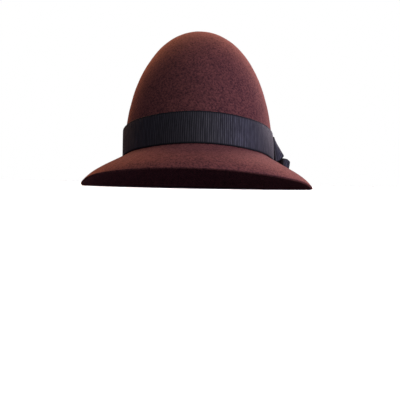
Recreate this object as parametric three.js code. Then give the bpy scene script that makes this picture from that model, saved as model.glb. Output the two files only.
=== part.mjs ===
// A felt hat with a tall egg-shaped crown and a turned-down brim, blocked from one piece of felt,
// with a ribbed ribbon round the crown and a bow of the same ribbon at the wearer's left side.
// Millimetres, +Z up. The wearer faces -Y, and the wearer's left is +X. The origin lies on the
// surface that the brim rests on, under the middle of the crown.

import * as THREE from "three";
import { LoftGeometry } from "three/addons/geometries/LoftGeometry.js";

// Felt: the head opening, the wall and the crown
const HEAD_WIDTH = 165;
const HEAD_LENGTH = 199;
const FELT = 2.2;
const HEIGHT = 174.5;
// Power on the crown's narrowing: 1 gives an ellipse, less gives a fuller top
const FULLNESS = 0.93;
// Length over width of the crown's section at the tip
const TIP_OVAL = 1.08;
// Height over which the crown's wall bends out into the brim
const ROOT_BEND = 2;
// Share of the brim that the bend takes up
const BEND_REACH = 0.1;
// Swell of the brim before it turns down to the rim, with the powers that start and end it
const ROLL = { rise: 4, start: 1.5, end: 22 };
// Height of the cut edge at the rim, and how softly the rim lifts off the surface that it rests on
const CUT_EDGE = 1.8;
const RIM_EASE = 2;

// Brim, a row for each eighth of the way round from the front towards the wearer's left.
// reach: how far the rim stands out from the crown. edge: height of the rim, before the surface
// that it rests on flattens it. root: height of the corner between the crown and the brim.
const BRIM = [
  { at: "front", reach: 44, edge: 16.5, root: 40.5 },
  { at: "left front", reach: 44, edge: 8.3, root: 35.5 },
  { at: "left side", reach: 43.5, edge: -4, root: 27 },
  { at: "left back", reach: 44, edge: -3, root: 30 },
  { at: "back", reach: 44, edge: -3, root: 32 },
  { at: "right back", reach: 44, edge: -3, root: 30 },
  { at: "right side", reach: 46, edge: -4, root: 28 },
  { at: "right front", reach: 44, edge: 11.2, root: 36 },
];

// Ribbon: its width and thickness, the gap under it, and its height above the brim's root
const RIBBON_WIDTH = 30;
const RIBBON = 1;
const GAP = 0.3;
const BAND_RISE = 2;

// Bow: where its knot sits, measured from the front towards the wearer's left
const BOW_ANGLE = THREE.MathUtils.degToRad(110);
// Knot: half its length along the band and half its height, its depth, the power that squares its
// section, and the share that it narrows by at its ends, with the power that keeps its middle full
const KNOT = { halfLength: 6.5, halfHeight: 10.5, depth: 6.4, corner: 0.6, taper: 0.28, full: 4 };

// Ribbon strips of the bow, a row for each bend. along: towards the front from the knot's middle.
// out: away from the band's face. up: above the band's middle line. upper and lower are the
// ribbon's two edges.
const LOOP = [
  { upperAlong: 6.9, upperOut: 0.8, upperUp: 8.5, lowerAlong: 6.9, lowerOut: 0.9, lowerUp: -8.5 },
  { upperAlong: 18, upperOut: 0.4, upperUp: 12.5, lowerAlong: 17, lowerOut: 1, lowerUp: -11.5 },
  { upperAlong: 30, upperOut: -0.3, upperUp: 14.5, lowerAlong: 28, lowerOut: 1, lowerUp: -13.2 },
  { upperAlong: 37.5, upperOut: -0.4, upperUp: 15, lowerAlong: 35, lowerOut: 1.2, lowerUp: -13.6 },
  { upperAlong: 39, upperOut: 0.2, upperUp: 15, lowerAlong: 36.8, lowerOut: 3.4, lowerUp: -13 },
  { upperAlong: 37.5, upperOut: 0.9, upperUp: 14.8, lowerAlong: 34.5, lowerOut: 8.6, lowerUp: -10.8 },
  { upperAlong: 31, upperOut: 1.3, upperUp: 14.4, lowerAlong: 29, lowerOut: 14.2, lowerUp: -5 },
  { upperAlong: 17, upperOut: 3.1, upperUp: 12, lowerAlong: 16, lowerOut: 11, lowerUp: -7.2 },
  { upperAlong: 6.9, upperOut: 4.2, upperUp: 8, lowerAlong: 6.9, lowerOut: 4.6, lowerUp: -8 },
];
const TAIL = [
  { upperAlong: 5, upperOut: 2, upperUp: -11.1, lowerAlong: 0.7, lowerOut: 2.4, lowerUp: -11.4 },
  { upperAlong: 15, upperOut: 5.5, upperUp: -11.2, lowerAlong: 8.5, lowerOut: 6.5, lowerUp: -18.5 },
  { upperAlong: 24.5, upperOut: 8, upperUp: -9.4, lowerAlong: 21, lowerOut: 9.5, lowerUp: -20.4 },
  { upperAlong: 30, upperOut: 12.5, upperUp: -8.6, lowerAlong: 29.5, lowerOut: 13.5, lowerUp: -22 },
  { upperAlong: 28.8, upperOut: 18.4, upperUp: -9.2, lowerAlong: 28.5, lowerOut: 17.6, lowerUp: -23.4 },
  { upperAlong: 24.5, upperOut: 23.3, upperUp: -12, lowerAlong: 24.5, lowerOut: 21.4, lowerUp: -25 },
];
// The loop and tail behind the knot are a little smaller
const BACK_SIZE = 0.92;

// Mesh steps
const AROUND = 64;
const CROWN_STEPS = 14;
const BRIM_STEPS = 8;
// Power that brings the brim's steps closer together towards the rim, where it turns down
const CROWDING = 1.4;
const BAND_STEPS = 4;
const LOOP_STEPS = 30;
const TAIL_STEPS = 14;
const ACROSS_STEPS = 4;
const KNOT_STEPS = 8;
const KNOT_SIDES = 24;

// Small steps: to measure a slope, and to end a search
const NUDGE = 1e-4;
const CLOSE = 1e-6;

const FULL_TURN = Math.PI * 2;
const HALF_WIDTH = HEAD_WIDTH / 2 + FELT;
const HALF_LENGTH = HEAD_LENGTH / 2 + FELT;
const { lerp } = THREE.MathUtils;

// Evenly spaced values from start to end, both included
const spread = (start, end, steps) =>
  Array.from({ length: steps + 1 }, (_, step) => lerp(start, end, step / steps));

// A ring of points round the hat
const ring = (pointAt) =>
  Array.from({ length: AROUND }, (_, step) => pointAt(-step / AROUND * FULL_TURN));

const brimCurve = new THREE.CatmullRomCurve3(
  BRIM.map((row) => new THREE.Vector3(row.reach, row.edge, row.root)), true, "catmullrom");

// The rim lies flat where it meets the surface and lifts off it in a smooth curve
function settle(edge) {
  if (edge > RIM_EASE) return edge;
  return Math.max(edge + RIM_EASE, 0) ** 2 / (4 * RIM_EASE);
}

function brimAt(angle) {
  const row = brimCurve.getPoint(THREE.MathUtils.euclideanModulo(angle / FULL_TURN, 1));
  return { reach: row.x, edge: settle(row.y), root: row.z };
}

// A plan point of the crown's widest oval, moved straight out from it by some distance
function planPoint(angle, out) {
  const side = Math.sin(angle);
  const front = -Math.cos(angle);
  const outward = new THREE.Vector2(side / HALF_WIDTH, front / HALF_LENGTH).normalize();
  return new THREE.Vector2(HALF_WIDTH * side, HALF_LENGTH * front).addScaledVector(outward, out);
}

// Outer face of the felt. run is 0 at the crown's tip, 1 at its foot and 2 at the rim.
function outerFace(angle, run) {
  const { reach, edge, root } = brimAt(angle);
  if (run < 1) {
    const lift = (1 - run) * Math.PI / 2;
    const width = HALF_WIDTH * Math.cos(lift) ** FULLNESS;
    const oval = lerp(HALF_LENGTH / HALF_WIDTH, TIP_OVAL, Math.sin(lift));
    const height = lerp(root + ROOT_BEND, HEIGHT, Math.sin(lift));
    return new THREE.Vector3(width * Math.sin(angle), -width * oval * Math.cos(angle), height);
  }
  const section = new THREE.CubicBezierCurve(
    new THREE.Vector2(0, root + ROOT_BEND),
    new THREE.Vector2(0, root),
    new THREE.Vector2(reach * BEND_REACH, lerp(root, edge, BEND_REACH)),
    new THREE.Vector2(reach, edge + CUT_EDGE));
  const share = run - 1;
  const place = section.getPoint(share);
  const plan = planPoint(angle, place.x);
  const roll = ROLL.rise * (share ** ROLL.start - share ** ROLL.end);
  return new THREE.Vector3(plan.x, plan.y, place.y + roll);
}

// A point at some distance from the felt's outer face, along that face's normal
function offFelt(angle, run, distance) {
  const down = outerFace(angle, run + NUDGE).sub(outerFace(angle, run - NUDGE));
  const round = outerFace(angle + NUDGE, run).sub(outerFace(angle - NUDGE, run));
  return outerFace(angle, run).addScaledVector(down.cross(round).normalize(), distance);
}

function feltBody() {
  const crownRuns = spread(0, 1, CROWN_STEPS).slice(1);
  const brimRuns = spread(1, 0, BRIM_STEPS).slice(1).map((rest) => 2 - rest ** CROWDING);
  const runs = [...crownRuns, ...brimRuns];
  const tip = (height) => ring(() => new THREE.Vector3(0, 0, height));
  const outer = runs.map((run) => ring((angle) => outerFace(angle, run)));
  const inner = runs.map((run) => ring((angle) => offFelt(angle, run, -FELT)));
  const footOf = (points) =>
    ring(brimAt).map((brim, step) => points[step].clone().setZ(brim.edge));
  const outerFoot = footOf(outer.at(-1));
  const innerFoot = footOf(inner.pop());
  return new LoftGeometry(
    [tip(HEIGHT), ...outer, outerFoot, innerFoot, ...inner.reverse(), tip(HEIGHT - FELT)]);
}

// Run of the felt's outer face at some height above the brim's root, found by halving
function runAtRise(angle, rise) {
  const target = brimAt(angle).root + rise;
  let above = 0;
  let below = 2;
  while (below - above > CLOSE) {
    const middle = (above + below) / 2;
    if (outerFace(angle, middle).z > target) above = middle;
    else below = middle;
  }
  return above;
}

function ribbonBand() {
  const rises = spread(BAND_RISE, BAND_RISE + RIBBON_WIDTH, BAND_STEPS);
  const face = (distance) => rises.map((rise) =>
    ring((angle) => offFelt(angle, runAtRise(angle, rise), distance)));
  const outside = face(GAP + RIBBON);
  const inside = face(GAP).reverse();
  return new LoftGeometry([...outside, ...inside, outside[0]].reverse());
}

// A point beside the ribbon band, measured from the middle of the bow's knot
function besideBand({ along, out, up }) {
  const perTurn = Math.hypot(HALF_WIDTH * Math.cos(BOW_ANGLE), HALF_LENGTH * Math.sin(BOW_ANGLE));
  const angle = BOW_ANGLE - along / perTurn;
  const plan = planPoint(angle, GAP + RIBBON + out);
  const middle = brimAt(angle).root + BAND_RISE + RIBBON_WIDTH / 2;
  return new THREE.Vector3(plan.x, plan.y, middle + up);
}

// A strip of ribbon through the rows of a table. side is 1 in front of the knot, -1 behind it, and
// size scales its length from the knot's edge.
function ribbonStrip(rows, steps, side, size) {
  const edgeCurve = (edge) => new THREE.CatmullRomCurve3(rows.map((row) => besideBand({
    along: side * lerp(KNOT.halfLength, row[`${edge}Along`], size),
    out: row[`${edge}Out`],
    up: row[`${edge}Up`],
  })));
  const upper = edgeCurve("upper");
  const lower = edgeCurve("lower");
  const sections = spread(0, 1, steps).map((share) => {
    const top = upper.getPoint(share);
    const bottom = lower.getPoint(share);
    const travel = upper.getTangent(share).add(lower.getTangent(share));
    const face = travel.cross(bottom.clone().sub(top)).normalize();
    const across = spread(0, 1, ACROSS_STEPS).map((part) => top.clone().lerp(bottom, part));
    const shifted = (distance) => across.map((point) => point.clone().addScaledVector(face, distance));
    return [...shifted(-RIBBON / 2), ...shifted(RIBBON / 2).reverse()];
  });
  return new LoftGeometry(sections, { capStart: true, capEnd: true });
}

// A rounded wrap over the middle of the bow
function bowKnot() {
  const rounded = (value) => Math.sign(value) * Math.abs(value) ** KNOT.corner;
  const sections = spread(-1, 1, KNOT_STEPS).map((level) => {
    const fullness = 1 - KNOT.taper * level ** KNOT.full;
    return Array.from({ length: KNOT_SIDES }, (_, step) => {
      const turn = step / KNOT_SIDES * FULL_TURN;
      return besideBand({
        along: KNOT.halfLength * fullness * rounded(Math.cos(turn)),
        out: GAP + KNOT.depth / 2 * (1 + fullness * rounded(Math.sin(turn))),
        up: KNOT.halfHeight * level,
      });
    });
  });
  return new LoftGeometry(sections, { capStart: true, capEnd: true });
}

const felt = { color: 0x5a3434, roughness: 0.95, metalness: 0 };
const ribbon = { color: 0x1e1c20, roughness: 0.6, metalness: 0 };

const hat = new THREE.Group();

function addPiece(name, geometry, finish) {
  const piece = new THREE.Mesh(geometry, new THREE.MeshStandardMaterial(finish));
  piece.name = name;
  hat.add(piece);
}

addPiece("felt_body", feltBody(), felt);
addPiece("ribbon_band", ribbonBand(), ribbon);
addPiece("bow_loop_front", ribbonStrip(LOOP, LOOP_STEPS, 1, 1), ribbon);
addPiece("bow_loop_back", ribbonStrip(LOOP, LOOP_STEPS, -1, BACK_SIZE), ribbon);
addPiece("bow_knot", bowKnot(), ribbon);
addPiece("bow_tail_front", ribbonStrip(TAIL, TAIL_STEPS, 1, 1), ribbon);
addPiece("bow_tail_back", ribbonStrip(TAIL, TAIL_STEPS, -1, BACK_SIZE), ribbon);

export default hat;
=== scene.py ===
"""Looks of a felt hat with a tall egg-shaped crown, a turned-down brim, a ribbed ribbon and a side bow.

The wearer faces -Y, and the wearer's left is +X. Sizes in the hat's tables are in millimetres, and everything
else is in metres.
"""

import math

import bmesh
import bpy
import numpy as np
from mathutils import Matrix, Vector, noise


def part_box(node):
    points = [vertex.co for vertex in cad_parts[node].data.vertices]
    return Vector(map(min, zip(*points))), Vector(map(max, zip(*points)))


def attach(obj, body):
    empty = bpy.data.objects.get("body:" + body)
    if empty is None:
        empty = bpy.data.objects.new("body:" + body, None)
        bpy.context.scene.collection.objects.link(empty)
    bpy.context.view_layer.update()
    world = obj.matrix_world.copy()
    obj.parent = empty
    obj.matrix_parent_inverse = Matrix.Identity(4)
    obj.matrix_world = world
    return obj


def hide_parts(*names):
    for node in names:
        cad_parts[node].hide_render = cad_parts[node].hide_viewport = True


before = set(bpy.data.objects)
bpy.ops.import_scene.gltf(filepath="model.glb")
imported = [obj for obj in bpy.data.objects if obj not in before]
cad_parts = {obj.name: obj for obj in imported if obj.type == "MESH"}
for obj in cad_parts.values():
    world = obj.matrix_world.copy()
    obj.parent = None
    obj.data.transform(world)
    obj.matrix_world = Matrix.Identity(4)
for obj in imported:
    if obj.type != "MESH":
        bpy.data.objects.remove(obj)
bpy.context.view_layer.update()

bl_info = {
    "name": "Felt hat with ribbon and bow",
    "version": (1, 0, 0),
    "blender": (4, 5, 0),
    "location": "3D View > Sidebar > Hat",
    "description": "Builds a blocked felt hat with a grosgrain ribbon band and a side bow",
    "category": "Add Mesh",
}

MM = 0.001
FULL_TURN = 2 * math.pi

# Felt shape
# Power on the crown's narrowing, and length over width of its section at the tip
FULLNESS = 0.93
TIP_OVAL = 1.08
# Height over which the crown's wall bends out into the brim, and the share of the brim that the bend takes up
ROOT_BEND = 2 * MM
BEND_REACH = 0.1
# Height of the cut edge at the rim
CUT_EDGE = 1.8 * MM
# Power that squares the cut edge's rounding, and how far the edge stands out past the brim
EDGE_ROUND = 0.6
EDGE_STAND = 0.5 * MM
# Swell of the brim before it turns down to the rim, with the powers that start and end it
ROLL_RISE = 4 * MM
ROLL_START = 1.5
ROLL_END = 22
# How softly the rim lifts off the surface that it rests on, and how close to the rim it is pressed down to it
RIM_EASE = 2 * MM
RIM_PRESS = 8

# Brim, a row for each eighth of the way round from the front towards the wearer's left, in millimetres.
# reach: how far the rim stands out from the crown. edge: height of the rim, before the surface that it rests
# on flattens it. root: height of the corner between the crown and the brim.
BRIM = [
    {"at": "front", "reach": 44, "edge": 16.5, "root": 40.5},
    {"at": "left front", "reach": 44, "edge": 8.3, "root": 35.5},
    {"at": "left side", "reach": 43.5, "edge": -4, "root": 27},
    {"at": "left back", "reach": 44, "edge": -3, "root": 30},
    {"at": "back", "reach": 44, "edge": -3, "root": 32},
    {"at": "right back", "reach": 44, "edge": -3, "root": 30},
    {"at": "right side", "reach": 46, "edge": -4, "root": 28},
    {"at": "right front", "reach": 44, "edge": 11.2, "root": 36},
]

# Soft unevenness that blocking leaves in the felt: size of each swell and its height, in millimetres
SWELLS = [
    {"size": 46, "height": 0.45},
    {"size": 13, "height": 0.14},
    {"size": 4.5, "height": 0.07},
]

# Ribbon: the gap under it, and its height above the brim's root
GAP = 0.3 * MM
BAND_RISE = 2 * MM
# How far the band's top edge stands off the crown where it is slack, at the wearer's right, with the angle of
# that place and how far round it spreads
SLACK = 1.7 * MM
SLACK_ANGLE = math.radians(-80)
SLACK_SPREAD = math.radians(42)

# Bow: where its knot sits, measured from the front towards the wearer's left
BOW_ANGLE = math.radians(110)
# Knot: half its length along the band, half its height, and its depth
KNOT_HALF_LENGTH = 6.5 * MM
KNOT_HALF_HEIGHT = 10.5 * MM
KNOT_DEPTH = 6.6 * MM
# Power that squares the knot's section, and the share that the knot narrows by at its top and bottom
KNOT_CORNER = 0.55
KNOT_WAIST = 0.16
# Pleats to each side of the knot's middle, their depth, and how far its side edges sink and how close to them
KNOT_PLEATS = 1.5
KNOT_PLEAT_DEPTH = 0.5 * MM
KNOT_EDGE_SINK = 0.3 * MM
KNOT_EDGE_POWER = 4

# Ribbon strips of the bow, a row for each bend, in millimetres. upper and lower are the ribbon's two edges.
# along: towards the front from the knot's middle. out: away from the band's face. up: above the band's
# middle line. A loop starts and ends inside the knot's wrap, and a tail starts just under it.
LOOP = [
    {"upper": {"along": 3, "out": 1.6, "up": 7}, "lower": {"along": 3, "out": 1.6, "up": -7}},
    {"upper": {"along": 8, "out": 1.5, "up": 8.8}, "lower": {"along": 8, "out": 1.5, "up": -8.8}},
    {"upper": {"along": 18, "out": 0.4, "up": 12.5}, "lower": {"along": 17, "out": 1, "up": -11.5}},
    {"upper": {"along": 30, "out": -0.3, "up": 14.5}, "lower": {"along": 28, "out": 1, "up": -13.2}},
    {"upper": {"along": 37.5, "out": -0.4, "up": 15}, "lower": {"along": 35, "out": 1.2, "up": -13.6}},
    {"upper": {"along": 39, "out": 0.2, "up": 15}, "lower": {"along": 36.8, "out": 3.4, "up": -13}},
    {"upper": {"along": 37.5, "out": 0.9, "up": 14.8}, "lower": {"along": 34.5, "out": 8.6, "up": -10.8}},
    {"upper": {"along": 31, "out": 1.3, "up": 14.4}, "lower": {"along": 29, "out": 14.2, "up": -5}},
    {"upper": {"along": 17, "out": 3.1, "up": 12}, "lower": {"along": 16, "out": 11, "up": -7.2}},
    {"upper": {"along": 8, "out": 3.5, "up": 8.4}, "lower": {"along": 8, "out": 3.7, "up": -8}},
    {"upper": {"along": 3, "out": 3.1, "up": 7}, "lower": {"along": 3, "out": 3.1, "up": -7}},
]
TAIL = [
    {"upper": {"along": 5, "out": 2, "up": -11.55}, "lower": {"along": 0.7, "out": 2.2, "up": -11.65}},
    {"upper": {"along": 15, "out": 5.5, "up": -11.2}, "lower": {"along": 8.5, "out": 6.5, "up": -18.5}},
    {"upper": {"along": 24.5, "out": 8, "up": -9.4}, "lower": {"along": 21, "out": 9.5, "up": -20.4}},
    {"upper": {"along": 30, "out": 12.5, "up": -8.6}, "lower": {"along": 29.5, "out": 13.5, "up": -22}},
    {"upper": {"along": 28.8, "out": 18.4, "up": -9.2}, "lower": {"along": 28.5, "out": 17.6, "up": -23.4}},
    {"upper": {"along": 24.5, "out": 23.3, "up": -12}, "lower": {"along": 24.5, "out": 21.4, "up": -25}},
]
# The loop and tail behind the knot are a little smaller
BACK_SIZE = 0.92
# Gathers where the loops are pinched: their depth at the knot, how far along they run out, and their number
GATHER_DEPTH = 0.7 * MM
GATHER_RUN = 9 * MM
GATHERS = 2.5

# Mesh steps round the felt, down the crown, out along the brim, over the cut edge, and over each rib
FELT_AROUND = 300
CROWN_STEPS = 76
BRIM_STEPS = 34
EDGE_STEPS = 6
RIB_STEPS = 6
# Steps that measure a ribbon's length, the small step that finds a direction, and the halvings that find a
# height
TRIAL_STEPS = 600
NUDGE = 1e-4
SEARCH_STEPS = 30

# Woven ribs: seed of their unevenness, their roundness, and the shares that a rib may differ by
RIB_SEED = 7
RIB_ROUND = 0.8
RIB_UNEVEN = 0.45
RIB_WANDER = 0.22
# How far a rib's sway turns over the ribbon's width, in radians
RIB_SWAY = 5
# Places of the mesh rows across a ribbon, in shares of its width, close together at the two woven edges
ACROSS = np.array([0.0, 0.012, 0.03, 0.06, 0.14, 0.26, 0.38, 0.5, 0.62, 0.74, 0.86, 0.94, 0.97, 0.988, 1.0])
# Share of the width over which the ribs flatten into the woven edge, the share of their height that is left
# there, and how far the edge scallops stand out
SELVAGE = 0.045
SELVAGE_RIB = 0.35
SCALLOP = 0.3 * MM

# Felt grain: sizes of its tufts, its faint patches and its nap, and the depth of the nap
TUFT = 1.8 * MM
PATCH = 11 * MM
NAP = 0.9 * MM
NAP_DEPTH = 0.4 * MM
# Ribbon weave: spacing and depth of the fine threads, and the length over which the painted light on a rib
# changes at random
THREAD = 0.4 * MM
THREAD_DEPTH = 0.08 * MM
RIB_LIGHT_RUN = 14 * MM
# Where the painted shade along the woven edge starts to pale and where it ends, inwards from the ribbon's
# side
EDGE_SHADE_START = 0.3 * MM
EDGE_SHADE_END = 1.5 * MM
# Distance between the crests of Blender's wave texture at a scale of 1
WAVE_LENGTH = 0.314

# Photograph's frame: its size, and the column of the crown's axis and the row of the horizon, in pixels
FRAME_SIZE = 400
AXIS_COLUMN = 197.4
HORIZON_ROW = 183.0
# Width of the camera's sensor, and side of the square floor
SENSOR = 36 * MM
FLOOR_SIZE = 16.0
# Soft lights: where each stands, the side of its square, its power in watts and its colour
LIGHTS = [
    {"name": "window_light", "place": (1.15, -0.4, 0.3), "size": 0.7, "power": 8.6, "colour": "d2ceff"},
    {"name": "side_back_light", "place": (0.7, 0.9, 0.6), "size": 0.6, "power": 11.6, "colour": "ffecf8"},
    {"name": "left_back_light", "place": (-0.7, 0.9, 0.7), "size": 0.6, "power": 3.5, "colour": "ffc79e"},
    {"name": "warm_back_light", "place": (0.0, 0.72, 1.22), "size": 0.6, "power": 14, "colour": "ffd3a8"},
    {"name": "front_fill", "place": (0.45, -1.0, 0.45), "size": 0.8, "power": 2.8, "colour": "fafcff"},
]
# Point that the soft lights face
LIGHT_AIM = (0, 0, 90 * MM)
# Strength of the light that falls on the floor only, and the angle that it spreads over
FLOOR_LIGHT = 3.5
FLOOR_LIGHT_SPREAD = math.radians(55)
# Colour of the light from the surroundings, its brightness above and below the floor's level, and the rise
# over which it changes, as a share of a direction's length
ROOM_COLOUR = "d4ccff"
ROOM_LIGHT = 0.1
LOW_LIGHT = 0.06
ROOM_CHANGE = 0.05


def linear(code):
    """Turn an sRGB hex colour into linear red, green and blue"""
    shares = [int(code[place:place + 2], 16) / 255 for place in (0, 2, 4)]
    return tuple(share / 12.92 if share <= 0.04045 else ((share + 0.055) / 1.055) ** 2.4 for share in shares)


class HatFelt(bpy.types.PropertyGroup):
    """Sizes and colours of the felt"""

    head_width: bpy.props.FloatProperty(
        name="Head width", description="Head opening from side to side, inside the felt",
        default=165 * MM, unit="LENGTH")
    head_length: bpy.props.FloatProperty(
        name="Head length", description="Head opening from front to back, inside the felt",
        default=199 * MM, unit="LENGTH")
    wall: bpy.props.FloatProperty(
        name="Felt thickness", description="Thickness of the felt wall",
        default=2.2 * MM, unit="LENGTH")
    height: bpy.props.FloatProperty(
        name="Height", description="Height of the crown's tip above the surface that the rim rests on",
        default=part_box("felt_body")[1].z, unit="LENGTH")
    pale: bpy.props.FloatVectorProperty(
        name="Pale fibres", description="Colour of the fibres that catch the light",
        default=linear("925750"), subtype="COLOR")
    dark: bpy.props.FloatVectorProperty(
        name="Dark fibres", description="Colour between the fibres",
        default=linear("4c2b30"), subtype="COLOR")


class HatRibbon(bpy.types.PropertyGroup):
    """Sizes and colours of the ribbon"""

    width: bpy.props.FloatProperty(
        name="Width", description="Width of the ribbon", default=30 * MM, unit="LENGTH")
    thickness: bpy.props.FloatProperty(
        name="Thickness", description="Thickness of the ribbon in the grooves between its ribs",
        default=0.6 * MM, unit="LENGTH")
    # The ribs are as wide as the photograph shows them, and real ones are often 1 to 1.5 mm apart
    rib_pitch: bpy.props.FloatProperty(
        name="Rib pitch", description="Distance from one woven rib to the next",
        default=2.1 * MM, unit="LENGTH")
    rib_height: bpy.props.FloatProperty(
        name="Rib height", description="Height of a woven rib above the grooves, on each face",
        default=0.22 * MM, unit="LENGTH")
    # Painted light and shade: the pale colour paints light on the rib tops, and the dark one paints shade in
    # the grooves and along the woven edges
    pale: bpy.props.FloatVectorProperty(
        name="Lit rib tops", description="Colour of the threads on top of the ribs",
        default=linear("464346"), subtype="COLOR")
    dark: bpy.props.FloatVectorProperty(
        name="Shade in grooves and at edges", description="Colour of the threads between the ribs",
        default=linear("0b0a0d"), subtype="COLOR")


class HatStage(bpy.types.PropertyGroup):
    """Camera, lights and floor"""

    distance: bpy.props.FloatProperty(
        name="Camera distance", description="Distance from the camera to the crown's axis",
        default=535 * MM, unit="LENGTH")
    camera_height: bpy.props.FloatProperty(
        name="Camera height", description="Height of the camera above the floor",
        default=5 * MM, unit="LENGTH")
    lens: bpy.props.FloatProperty(
        name="Lens", description="Focal length on a 36 mm sensor", default=41.5 * MM, unit="LENGTH")
    roll: bpy.props.FloatProperty(
        name="Roll", description="Turn of the picture, clockwise", default=math.radians(1.1), subtype="ANGLE")
    floor: bpy.props.FloatVectorProperty(
        name="Floor", description="Colour of the floor", default=linear("f4f2ef"), subtype="COLOR")


def smooth_curve(rows, place, closed=False):
    """Smooth curve through evenly spaced rows of numbers, read at places counted in rows"""
    count = len(rows)
    place = np.asarray(place, float)
    step = np.floor(place).astype(int)
    if not closed:
        step = np.clip(step, 0, count - 2)
    part = (place - step)[..., None]

    def row(shift):
        index = step + shift
        return rows[index % count if closed else np.clip(index, 0, count - 1)]

    before, start, end, after = (row(shift) for shift in (-1, 0, 1, 2))
    turn = before - 2.5 * start + 2 * end - after / 2
    twist = 1.5 * (start - end) + (after - before) / 2
    return start + part * ((end - before) / 2 + part * (turn + part * twist))


def unit(vectors):
    """Vectors brought to a length of one"""
    return vectors / np.linalg.norm(vectors, axis=-1, keepdims=True)


class FeltForm:
    """Outer face of the felt. An angle is measured from the front towards the wearer's left, and a run is 0
    at the crown's tip, 1 at its foot and 2 at the rim."""

    def __init__(self, felt):
        self.half_width = felt.head_width / 2 + felt.wall
        self.half_length = felt.head_length / 2 + felt.wall
        self.height = felt.height
        self.rows = MM * np.array([[row["reach"], row["edge"], row["root"]] for row in BRIM])

    def brim(self, angle):
        """Reach of the brim, height of its rim and height of its root"""
        place = np.asarray(angle) / FULL_TURN * len(self.rows)
        reach, edge, root = np.moveaxis(smooth_curve(self.rows, place, closed=True), -1, 0)
        lifting = np.maximum(edge + RIM_EASE, 0) ** 2 / (4 * RIM_EASE)
        return reach, np.where(edge > RIM_EASE, edge, lifting), root

    def plan(self, angle, out):
        """Plan point of the crown's widest oval, moved straight out from it"""
        side = np.sin(angle)
        front = -np.cos(angle)
        steep = np.hypot(side / self.half_width, front / self.half_length)
        across = self.half_width * side + out * side / self.half_width / steep
        ahead = self.half_length * front + out * front / self.half_length / steep
        return across, ahead

    def face(self, angle, run):
        """Points of the outer face"""
        angle, run = np.broadcast_arrays(angle, run)
        reach, edge, root = self.brim(angle)
        lift = (1 - np.minimum(run, 1)) * math.pi / 2
        rise = np.sin(lift)
        width = self.half_width * np.cos(lift) ** FULLNESS
        oval = self.half_length / self.half_width * (1 - rise) + TIP_OVAL * rise
        height = (root + ROOT_BEND) * (1 - rise) + self.height * rise
        crown = np.stack([width * np.sin(angle), -width * oval * np.cos(angle), height], -1)
        share = np.maximum(run - 1, 0)
        rest = 1 - share
        weights = (rest ** 3, 3 * rest ** 2 * share, 3 * rest * share ** 2, share ** 3)
        bend = root * (1 - BEND_REACH) + edge * BEND_REACH
        out = reach * (BEND_REACH * weights[2] + weights[3])
        down = weights[0] * (root + ROOT_BEND) + weights[1] * root + weights[2] * bend
        roll = ROLL_RISE * (share ** ROLL_START - share ** ROLL_END)
        down = down + weights[3] * (edge + CUT_EDGE) + roll
        brim = np.stack([*self.plan(angle, out), down], -1)
        return np.where((run < 1)[..., None], crown, brim)

    def normal(self, angle, run):
        """Directions straight out of the outer face"""
        down = self.face(angle, run + NUDGE) - self.face(angle, run - NUDGE)
        round_it = self.face(angle + NUDGE, run) - self.face(angle - NUDGE, run)
        return unit(np.cross(down, round_it))

    def run_at_rise(self, angle, rise):
        """Run of the outer face at some height above the brim's root, found by halving"""
        angle, rise = np.broadcast_arrays(angle, rise)
        target = self.brim(angle)[2] + rise
        above = np.zeros_like(target)
        below = np.full_like(target, 2.0)
        for _ in range(SEARCH_STEPS):
            middle = (above + below) / 2
            higher = self.face(angle, middle)[..., 2] > target
            above = np.where(higher, middle, above)
            below = np.where(higher, below, middle)
        return above

    def beside_band(self, ribbon, along, out, up):
        """Points beside the ribbon band, measured from the middle of the bow's knot"""
        per_turn = math.hypot(self.half_width * math.cos(BOW_ANGLE), self.half_length * math.sin(BOW_ANGLE))
        angle = BOW_ANGLE - along / per_turn
        band_face = GAP + ribbon.thickness + 2 * ribbon.rib_height
        middle = self.brim(angle)[2] + BAND_RISE + ribbon.width / 2
        return np.stack([*self.plan(angle, band_face + out), middle + up], -1)


def grid_faces(rows, columns, close_rows=False, close_columns=False):
    """Quads between neighbouring points of a grid whose points are numbered row by row"""
    number = np.arange(rows * columns).reshape(rows, columns)
    if close_rows:
        number = np.vstack([number, number[:1]])
    if close_columns:
        number = np.hstack([number, number[:, :1]])
    corners = (number[:-1, :-1], number[:-1, 1:], number[1:, 1:], number[1:, :-1])
    return np.stack(corners, -1).reshape(-1, 4).tolist()


def add_piece(name, points, faces, material, node):
    """Make a closed mesh that stands for a node, with its faces pointing out"""
    mesh = bpy.data.meshes.new(name)
    mesh.from_pydata(points.reshape(-1, 3).tolist(), [], faces)
    work = bmesh.new()
    work.from_mesh(mesh)
    bmesh.ops.recalc_face_normals(work, faces=work.faces)
    work.to_mesh(mesh)
    work.free()
    mesh.shade_smooth()
    mesh.materials.append(material)
    piece = bpy.data.objects.new(name, mesh)
    bpy.context.scene.collection.objects.link(piece)
    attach(piece, "root")
    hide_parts(node)
    return piece


def add_node(tree, kind, settings=None, sockets=None):
    """Add a node with its own settings, and with its sockets set to values or linked to other sockets"""
    node = tree.nodes.new(kind)
    for key, value in (settings or {}).items():
        setattr(node, key, value)
    for key, value in (sockets or {}).items():
        if isinstance(value, bpy.types.NodeSocket):
            tree.links.new(value, node.inputs[key])
        else:
            node.inputs[key].default_value = value
    return node


def new_material(name):
    """A new material with its node tree and surface shader, or one that is already made, without them"""
    material = bpy.data.materials.get(name)
    if material:
        return material, None, None
    material = bpy.data.materials.new(name)
    material.use_nodes = True
    tree = material.node_tree
    return material, tree, tree.nodes["Principled BSDF"]


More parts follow.
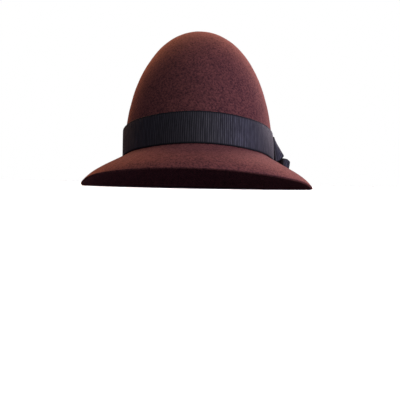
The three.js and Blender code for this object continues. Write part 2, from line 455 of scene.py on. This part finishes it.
def brushed_wool_felt(felt):
    """Wool felt, blocked by steam and brushed: matted fibres give a fine mottled grain, and the short nap
    that stands up all over gives a soft pale edge where the light skims it"""
    material, tree, shader = new_material("brushed_wool_felt")
    if tree is None:
        return material
    place = add_node(tree, "ShaderNodeTexCoord").outputs["Object"]
    # Real fibres are some 0.03 mm thick, too fine to show, so the grain is drawn as tufts
    tufts = add_node(tree, "ShaderNodeTexNoise", sockets={
        "Vector": place, "Scale": 1 / TUFT, "Detail": 5.0, "Roughness": 0.75, "Distortion": 0.4})
    patches = add_node(tree, "ShaderNodeTexNoise", sockets={
        "Vector": place, "Scale": 1 / PATCH, "Detail": 2.0, "Roughness": 0.5})
    mottle = add_node(tree, "ShaderNodeMix", sockets={
        "Factor": 0.1, "A": tufts.outputs["Fac"], "B": patches.outputs["Fac"]})
    spread = add_node(tree, "ShaderNodeMapRange", sockets={
        "Value": mottle.outputs["Result"], "From Min": 0.4, "From Max": 0.6})
    colour = add_node(tree, "ShaderNodeMix", {"data_type": "RGBA"}, {
        "Factor": spread.outputs["Result"], 6: (*felt.dark, 1), 7: (*felt.pale, 1)})
    nap = add_node(tree, "ShaderNodeTexNoise", sockets={
        "Vector": place, "Scale": 1 / NAP, "Detail": 4.0, "Roughness": 0.7, "Distortion": 0.4})
    bump = add_node(tree, "ShaderNodeBump", sockets={
        "Height": nap.outputs["Fac"], "Strength": 0.5, "Distance": NAP_DEPTH})
    tree.links.new(colour.outputs[2], shader.inputs["Base Color"])
    tree.links.new(bump.outputs["Normal"], shader.inputs["Normal"])
    shader.inputs["Roughness"].default_value = 0.95
    shader.inputs["Specular IOR Level"].default_value = 0.15
    shader.inputs["Sheen Weight"].default_value = 0.5
    shader.inputs["Sheen Roughness"].default_value = 0.38
    shader.inputs["Sheen Tint"].default_value = (*linear("e08a6c"), 1)
    return material


def woven_grosgrain(ribbon):
    """Grosgrain, woven of fine silky threads over thick cross cords: a quiet gloss that breaks up into lines
    on the ribs, with fine threads along its length. Light is painted pale on the rib tops, and shade is
    painted dark in the grooves and along the woven edges"""
    material, tree, shader = new_material("woven_grosgrain")
    if tree is None:
        return material
    run = add_node(tree, "ShaderNodeUVMap", {"uv_map": "ribbon_run"}).outputs["UV"]
    place = add_node(tree, "ShaderNodeSeparateXYZ", sockets={0: run})
    # Painted light and shade on the ribs: 0 in the grooves, painted dark as shade, and 1 along the top of
    # each rib, painted pale as light
    turn = add_node(tree, "ShaderNodeMath", {"operation": "MULTIPLY"}, {
        0: place.outputs["X"], 1: math.pi / ribbon.rib_pitch})
    swing = add_node(tree, "ShaderNodeMath", {"operation": "SINE"}, {0: turn.outputs["Value"]})
    height = add_node(tree, "ShaderNodeMath", {"operation": "ABSOLUTE"}, {0: swing.outputs["Value"]})
    cords = add_node(tree, "ShaderNodeVectorMath", {"operation": "MULTIPLY"}, {
        0: run, 1: (1 / ribbon.rib_pitch, 1 / RIB_LIGHT_RUN, 1)})
    uneven = add_node(tree, "ShaderNodeTexNoise", {"noise_dimensions": "2D"}, {
        "Vector": cords.outputs["Vector"], "Scale": 1.0, "Detail": 2.0, "Roughness": 0.6})
    rib_light_strength = add_node(tree, "ShaderNodeMapRange", sockets={
        "Value": uneven.outputs["Fac"], "From Min": 0.3, "From Max": 0.7, "To Min": 0.5, "To Max": 1.0})
    # Painted shade along the woven edges: the colour darkens towards them, and the close, fuzzy edges are
    # matt
    inward = add_node(tree, "ShaderNodeMath", {"operation": "PINGPONG"}, {
        0: place.outputs["Y"], 1: ribbon.width / 2})
    away_from_edges = add_node(tree, "ShaderNodeMapRange", sockets={
        "Value": inward.outputs["Value"], "From Min": EDGE_SHADE_START, "From Max": EDGE_SHADE_END})
    raised = add_node(tree, "ShaderNodeMath", {"operation": "MULTIPLY"}, {
        0: height.outputs["Value"], 1: rib_light_strength.outputs["Result"]})
    painted_rib_light = add_node(tree, "ShaderNodeMath", {"operation": "MULTIPLY"}, {
        0: raised.outputs["Value"], 1: away_from_edges.outputs["Result"]})
    shaded = add_node(tree, "ShaderNodeMix", {"data_type": "RGBA"}, {
        "Factor": painted_rib_light.outputs["Value"], 6: (*ribbon.dark, 1), 7: (*ribbon.pale, 1)})
    gloss = add_node(tree, "ShaderNodeMapRange", sockets={
        "Value": painted_rib_light.outputs["Value"], "To Min": 0.9, "To Max": 0.4})
    # Real threads are some 0.1 mm apart, drawn coarser so that they show up close
    threads = add_node(tree, "ShaderNodeTexWave", {"bands_direction": "Y"}, {
        "Vector": run, "Scale": WAVE_LENGTH / THREAD, "Distortion": 0.6, "Detail": 1.0})
    bump = add_node(tree, "ShaderNodeBump", sockets={
        "Height": threads.outputs["Fac"], "Strength": 0.25, "Distance": THREAD_DEPTH})
    tree.links.new(shaded.outputs[2], shader.inputs["Base Color"])
    tree.links.new(gloss.outputs["Result"], shader.inputs["Roughness"])
    tree.links.new(bump.outputs["Normal"], shader.inputs["Normal"])
    shader.inputs["Specular IOR Level"].default_value = 0.5
    return material


def matt_paint(stage):
    """Matt paint on a smooth floor: pale and even, with no gloss"""
    material, tree, shader = new_material("matt_painted_floor")
    if tree is None:
        return material
    shader.inputs["Base Color"].default_value = (*stage.floor, 1)
    shader.inputs["Roughness"].default_value = 1.0
    shader.inputs["Specular IOR Level"].default_value = 0.0
    return material


def uneven_felt(points, normals):
    """Points moved along their normals by the soft unevenness of the felt"""
    flat = points.reshape(-1, 3)
    moved = np.zeros(len(flat))
    for swell in SWELLS:
        scaled = flat / (swell["size"] * MM)
        moved += swell["height"] * MM * np.array([noise.noise(Vector(point)) for point in scaled])
    return points + normals * moved.reshape(points.shape[:-1])[..., None]


def felt_wall(form, wall):
    """Points of the whole wall, ring by ring from the outer tip over the rim to the inner tip"""
    angles = FULL_TURN * np.arange(FELT_AROUND) / FELT_AROUND
    crown = np.linspace(0, 1, CROWN_STEPS + 1)[1:]
    # Closer together towards the rim, where the brim turns down
    brim = 1 + np.sin(np.linspace(0, math.pi / 2, BRIM_STEPS + 1))[1:]
    runs = np.concatenate([crown, brim])[:, None]
    normals = form.normal(angles[None, :], runs)
    outer = uneven_felt(form.face(angles[None, :], runs), normals)
    inner = outer - wall * normals
    middle = (outer[-1] + inner[-1]) / 2
    ahead = unit(outer[-1] - outer[-2])
    turns = np.linspace(0, math.pi, EDGE_STEPS + 2)[1:-1]
    edge = []
    for turn in turns:
        aside = math.copysign(abs(math.cos(turn)) ** EDGE_ROUND, math.cos(turn))
        out = EDGE_STAND * math.sin(turn) ** EDGE_ROUND
        edge.append(middle + normals[-1] * wall / 2 * aside + ahead * out)
    rings = np.concatenate([outer, np.array(edge), inner[::-1]])
    # The felt near the rim is pressed to the height that the rim rests at
    near_rim = np.maximum(runs - 1, 0) ** RIM_PRESS
    press = np.concatenate([near_rim, np.ones((EDGE_STEPS, 1)), near_rim[::-1]])
    rings[..., 2] += press * (form.brim(angles)[1] - rings[..., 2].min(0))
    rings[..., 2] = np.maximum(rings[..., 2], 0)
    return rings


def add_rib_map(piece, along, across):
    """Give a ribbon the map that its weave follows, in metres along and across it"""
    layer = piece.data.uv_layers.new(name="ribbon_run")
    corners = np.zeros(len(piece.data.loops), np.int32)
    piece.data.loops.foreach_get("vertex_index", corners)
    place = np.stack([along, across], -1).reshape(-1, 2)[corners]
    layer.data.foreach_set("uv", place.astype(np.float32).ravel())


def end_faces(start, columns):
    """Faces that close one end of a ribbon, across the ring of points that begins at a number"""
    half = len(ACROSS)
    faces = [[start, start + 1, start + columns - 1], [start + half, start + half + 1, start + half + 2]]
    for step in range(1, half):
        opposite = start + columns - step
        faces.append([start + step, start + step + 1, opposite - 1, opposite])
    return faces


def weave_ribbon(name, surface, ribbon, material, node, closed=False):
    """Make a ribbed ribbon on a surface that is given by shares of its length and width"""
    chance = np.random.default_rng(RIB_SEED)
    # Length along the middle, and evenly spaced places along it with a whole number of ribs
    share = np.linspace(0, 1, TRIAL_STEPS + 1)
    line = surface(share, np.full_like(share, 0.5))
    run = np.concatenate([[0], np.cumsum(np.linalg.norm(np.diff(line, axis=0), axis=1))])
    length = run[-1]
    ribs = round(length / ribbon.rib_pitch)
    count = ribs * RIB_STEPS + (0 if closed else 1)
    place = np.arange(count) / RIB_STEPS
    along = np.interp(place / ribs * length, run, share)
    middle = surface(along[:, None], ACROSS[None, :])
    if closed:
        ahead = np.roll(middle, -1, 0) - np.roll(middle, 1, 0)
    else:
        ahead = np.gradient(middle, axis=0)
    sideways = np.gradient(middle, axis=1)
    normal = unit(np.cross(ahead, sideways))
    # Ribs, each a little fuller or thinner than the next and swaying a little across the ribbon
    fullness = 1 - RIB_UNEVEN * chance.random(ribs + 1)
    wander = RIB_WANDER * chance.random(ribs + 1)
    rib = np.floor(place).astype(int)
    lean = np.interp(place, np.arange(ribs + 1), wander)[:, None] * np.sin(ACROSS * RIB_SWAY)[None, :]
    wave = np.abs(np.sin(math.pi * (place[:, None] + lean))) ** RIB_ROUND * fullness[rib][:, None]
    fade = np.clip(np.minimum(ACROSS, 1 - ACROSS) / SELVAGE, SELVAGE_RIB, 1)
    lift = (ribbon.thickness / 2 + ribbon.rib_height * wave * fade)[..., None] * normal
    # Scalloped points along the two woven edges, between the two faces
    reach = (ribbon.thickness / 2 + SCALLOP * wave)[..., None]
    first = middle[:, :1] + unit(middle[:, :1] - middle[:, 1:2]) * reach[:, :1]
    last = middle[:, -1:] + unit(middle[:, -1:] - middle[:, -2:-1]) * reach[:, -1:]
    rings = np.concatenate([first, middle + lift, last, (middle - lift)[:, ::-1]], axis=1)
    columns = rings.shape[1]
    faces = grid_faces(count, columns, close_rows=closed, close_columns=True)
    if not closed:
        faces += end_faces(0, columns) + end_faces((count - 1) * columns, columns)
    piece = add_piece(name, rings, faces, material, node)
    over = np.concatenate([ACROSS[:1], ACROSS, ACROSS[-1:], ACROSS[::-1]]) * ribbon.width
    lean = np.concatenate([lean[:, :1], lean, lean[:, -1:], lean[:, ::-1]], axis=1)
    add_rib_map(piece, *np.broadcast_arrays((place[:, None] + lean) * ribbon.rib_pitch, over[None, :]))
    return piece, length


def edge_rows(table, edge, side, size):
    """Columns along, out and up of one edge of a strip, in metres. side is 1 in front of the knot and -1
    behind it, and size scales the length from the knot's edge."""
    rows = MM * np.array([[row[edge][way] for way in ("along", "out", "up")] for row in table])
    past = np.maximum(rows[:, 0] - KNOT_HALF_LENGTH, 0)
    rows[:, 0] = side * (rows[:, 0] - past * (1 - size))
    return rows


def strip_surface(form, ribbon, table, side, size, gathers):
    """Surface of a strip of the bow, with gathers that run out from the knot"""
    upper = edge_rows(table, "upper", side, size)
    lower = edge_rows(table, "lower", side, size)
    last = len(table) - 1

    def surface(share, across):
        share, across = np.broadcast_arrays(share, across)
        part = across[..., None]
        place = smooth_curve(upper, share * last) * (1 - part) + smooth_curve(lower, share * last) * part
        along, out, up = np.moveaxis(place, -1, 0)
        pinch = np.exp(-np.maximum(np.abs(along) - KNOT_HALF_LENGTH, 0) / GATHER_RUN)
        out = out + gathers * pinch * (1 - np.cos(FULL_TURN * GATHERS * across)) / 2
        return form.beside_band(ribbon, along, out, up)

    return surface


class HAT_OT_felt_body(bpy.types.Operator):
    """Build the crown and brim, blocked from one piece of felt"""

    bl_idname = "hat.felt_body"
    bl_label = "Felt body"

    def execute(self, context):
        felt = context.scene.hat_felt
        form = FeltForm(felt)
        rings = felt_wall(form, felt.wall)
        count = len(rings)
        tips = np.array([[0, 0, felt.height], [0, 0, felt.height - felt.wall]])
        points = np.concatenate([rings.reshape(-1, 3), tips])
        faces = grid_faces(count, FELT_AROUND, close_columns=True)
        inner = (count - 1) * FELT_AROUND
        for step in range(FELT_AROUND):
            after = (step + 1) % FELT_AROUND
            faces.append([count * FELT_AROUND, step, after])
            faces.append([count * FELT_AROUND + 1, inner + step, inner + after])
        add_piece("blocked_felt", points, faces, brushed_wool_felt(felt), "felt_body")
        return {"FINISHED"}


class HAT_OT_ribbon_band(bpy.types.Operator):
    """Build the ribbed ribbon round the crown"""

    bl_idname = "hat.ribbon_band"
    bl_label = "Ribbon band"

    def execute(self, context):
        ribbon = context.scene.hat_ribbon
        form = FeltForm(context.scene.hat_felt)
        clear = GAP + ribbon.rib_height + ribbon.thickness / 2

        def surface(share, across):
            share, across = np.broadcast_arrays(share, across)
            angle = BOW_ANGLE + FULL_TURN * share
            run = form.run_at_rise(angle, BAND_RISE + ribbon.width * across)
            aside = np.angle(np.exp(1j * (angle - SLACK_ANGLE))) / SLACK_SPREAD
            slack = SLACK * np.exp(-aside ** 2) * across ** 2
            return form.face(angle, run) + form.normal(angle, run) * (clear + slack)[..., None]

        material = woven_grosgrain(ribbon)
        piece, length = weave_ribbon("grosgrain_band", surface, ribbon, material, "ribbon_band", closed=True)
        return {"FINISHED"}


class HAT_OT_bow_loops(bpy.types.Operator):
    """Build the two loops of the bow"""

    bl_idname = "hat.bow_loops"
    bl_label = "Bow loops"

    def execute(self, context):
        ribbon = context.scene.hat_ribbon
        form = FeltForm(context.scene.hat_felt)
        for place, side, size in (("front", 1, 1), ("back", -1, BACK_SIZE)):
            surface = strip_surface(form, ribbon, LOOP, side, size, GATHER_DEPTH)
            name = f"{place}_bow_loop"
            piece, length = weave_ribbon(name, surface, ribbon, woven_grosgrain(ribbon), f"bow_loop_{place}")
        return {"FINISHED"}


class HAT_OT_bow_tails(bpy.types.Operator):
    """Build the two short ends of the bow that lie over the brim"""

    bl_idname = "hat.bow_tails"
    bl_label = "Bow tails"

    def execute(self, context):
        ribbon = context.scene.hat_ribbon
        form = FeltForm(context.scene.hat_felt)
        for place, side, size in (("front", 1, 1), ("back", -1, BACK_SIZE)):
            surface = strip_surface(form, ribbon, TAIL, side, size, 0)
            name = f"{place}_bow_tail"
            piece, length = weave_ribbon(name, surface, ribbon, woven_grosgrain(ribbon), f"bow_tail_{place}")
        return {"FINISHED"}


class HAT_OT_bow_knot(bpy.types.Operator):
    """Build the pleated wrap over the middle of the bow"""

    bl_idname = "hat.bow_knot"
    bl_label = "Bow knot"

    def execute(self, context):
        ribbon = context.scene.hat_ribbon
        form = FeltForm(context.scene.hat_felt)

        def rounded(value):
            return np.sign(value) * np.abs(value) ** KNOT_CORNER

        def surface(share, across):
            share, across = np.broadcast_arrays(share, across)
            turn = FULL_TURN * share
            up = KNOT_HALF_HEIGHT * rounded(np.sin(turn))
            waist = 1 - KNOT_WAIST * np.sin(turn) ** 2
            aside = 2 * across - 1
            along = KNOT_HALF_LENGTH * waist * aside
            pleat = KNOT_PLEAT_DEPTH * np.cos(FULL_TURN * KNOT_PLEATS * aside)
            sink = KNOT_EDGE_SINK * aside ** KNOT_EDGE_POWER
            front = (1 - rounded(np.cos(turn))) / 2
            out = ribbon.rib_height + (KNOT_DEPTH + pleat - sink) * front
            return form.beside_band(ribbon, along, out, up)

        material = woven_grosgrain(ribbon)
        piece, length = weave_ribbon("bow_wrap", surface, ribbon, material, "bow_knot", closed=True)
        return {"FINISHED"}


def add_softbox(name, place, size, power, colour):
    """A square area light that faces the hat"""
    light = bpy.data.lights.new(name, "AREA")
    light.shape = "SQUARE"
    light.size = size
    light.energy = power
    light.color = linear(colour)
    box = bpy.data.objects.new(name, light)
    box.location = place
    box.rotation_euler = (Vector(LIGHT_AIM) - Vector(place)).to_track_quat("-Z", "Y").to_euler()
    bpy.context.scene.collection.objects.link(box)


class HAT_OT_stage(bpy.types.Operator):
    """Build the floor, the camera, the lights and the surroundings"""

    bl_idname = "hat.stage"
    bl_label = "Stage"

    def execute(self, context):
        stage = context.scene.hat_stage
        bpy.ops.mesh.primitive_plane_add(size=FLOOR_SIZE)
        floor = context.object
        floor.name = "floor"
        floor.data.materials.append(matt_paint(stage))
        # The floor takes shadows but throws no light back, so that the felt keeps its dark side
        floor.visible_diffuse = False
        floor.visible_glossy = False
        self.add_camera(context.scene, stage)
        for light in LIGHTS:
            add_softbox(**light)
        self.light_floor(context.scene, floor)
        self.set_world(context.scene)
        context.scene.view_settings.view_transform = "Standard"
        return {"FINISHED"}

    def light_floor(self, scene, floor):
        """A wide soft light from straight above that falls on the floor only and keeps it white all over"""
        light = bpy.data.lights.new("floor_light", "SUN")
        light.energy = FLOOR_LIGHT
        light.angle = FLOOR_LIGHT_SPREAD
        above = bpy.data.objects.new("floor_light", light)
        scene.collection.objects.link(above)
        floor_only = bpy.data.collections.new("floor_only")
        floor_only.objects.link(floor)
        above.light_linking.receiver_collection = floor_only

    def add_camera(self, scene, stage):
        """Aim the camera so that the crown's axis and the horizon fall where the photograph has them"""
        lens = bpy.data.cameras.new("camera")
        lens.lens = stage.lens / MM
        lens.sensor_width = SENSOR / MM
        lens.clip_start = 1 * MM
        focal = stage.lens / SENSOR * FRAME_SIZE
        aside = math.atan((AXIS_COLUMN - FRAME_SIZE / 2) / focal)
        down = math.atan((FRAME_SIZE / 2 - HORIZON_ROW) / focal)
        camera = bpy.data.objects.new("camera", lens)
        stand = Matrix.Translation((0, -stage.distance, stage.camera_height))
        turn = Matrix.Rotation(aside, 4, "Z") @ Matrix.Rotation(math.pi / 2 - down, 4, "X")
        camera.matrix_world = stand @ turn @ Matrix.Rotation(stage.roll, 4, "Z")
        scene.collection.objects.link(camera)
        scene.camera = camera

    def set_world(self, scene):
        """White surroundings that give only a little light, most of it from above"""
        world = bpy.data.worlds.new("white_room")
        scene.world = world
        world.use_nodes = True
        tree = world.node_tree
        tree.nodes.clear()
        seen = add_node(tree, "ShaderNodeBackground", sockets={"Color": (1, 1, 1, 1), "Strength": 1.0})
        way = add_node(tree, "ShaderNodeTexCoord").outputs["Generated"]
        rise = add_node(tree, "ShaderNodeSeparateXYZ", sockets={0: way}).outputs["Z"]
        above = add_node(tree, "ShaderNodeMapRange", sockets={
            "Value": rise, "From Min": 0.0, "From Max": ROOM_CHANGE,
            "To Min": LOW_LIGHT, "To Max": ROOM_LIGHT})
        light = add_node(tree, "ShaderNodeBackground", sockets={
            "Color": (*linear(ROOM_COLOUR), 1), "Strength": above.outputs["Result"]})
        ray = add_node(tree, "ShaderNodeLightPath").outputs["Is Camera Ray"]
        mix = add_node(tree, "ShaderNodeMixShader", sockets={
            0: ray, 1: light.outputs["Background"], 2: seen.outputs["Background"]})
        add_node(tree, "ShaderNodeOutputWorld", sockets={"Surface": mix.outputs["Shader"]})


PIECES = (
    HAT_OT_felt_body,
    HAT_OT_ribbon_band,
    HAT_OT_bow_loops,
    HAT_OT_bow_tails,
    HAT_OT_bow_knot,
    HAT_OT_stage,
)
SETTINGS = {"hat_felt": HatFelt, "hat_ribbon": HatRibbon, "hat_stage": HatStage}


class HAT_PT_pieces(bpy.types.Panel):
    """Sizes, colours and pieces of the hat"""

    bl_idname = "HAT_PT_pieces"
    bl_label = "Felt hat"
    bl_space_type = "VIEW_3D"
    bl_region_type = "UI"
    bl_category = "Hat"

    def draw(self, context):
        for key, group in SETTINGS.items():
            box = self.layout.box()
            for name in group.__annotations__:
                box.prop(getattr(context.scene, key), name)
        for piece in PIECES:
            self.layout.operator(piece.bl_idname)


def register():
    """Add the settings, the operators and the panel"""
    for key, group in SETTINGS.items():
        bpy.utils.register_class(group)
        setattr(bpy.types.Scene, key, bpy.props.PointerProperty(type=group))
    for kind in (*PIECES, HAT_PT_pieces):
        bpy.utils.register_class(kind)


def unregister():
    """Take the panel, the operators and the settings away"""
    for kind in reversed((*PIECES, HAT_PT_pieces)):
        bpy.utils.unregister_class(kind)
    for key, group in SETTINGS.items():
        delattr(bpy.types.Scene, key)
        bpy.utils.unregister_class(group)


def main():
    """Build every piece"""
    register()
    bpy.ops.hat.felt_body()
    bpy.ops.hat.ribbon_band()
    bpy.ops.hat.bow_loops()
    bpy.ops.hat.bow_tails()
    bpy.ops.hat.bow_knot()
    bpy.ops.hat.stage()


if __name__ == "__main__":
    main()
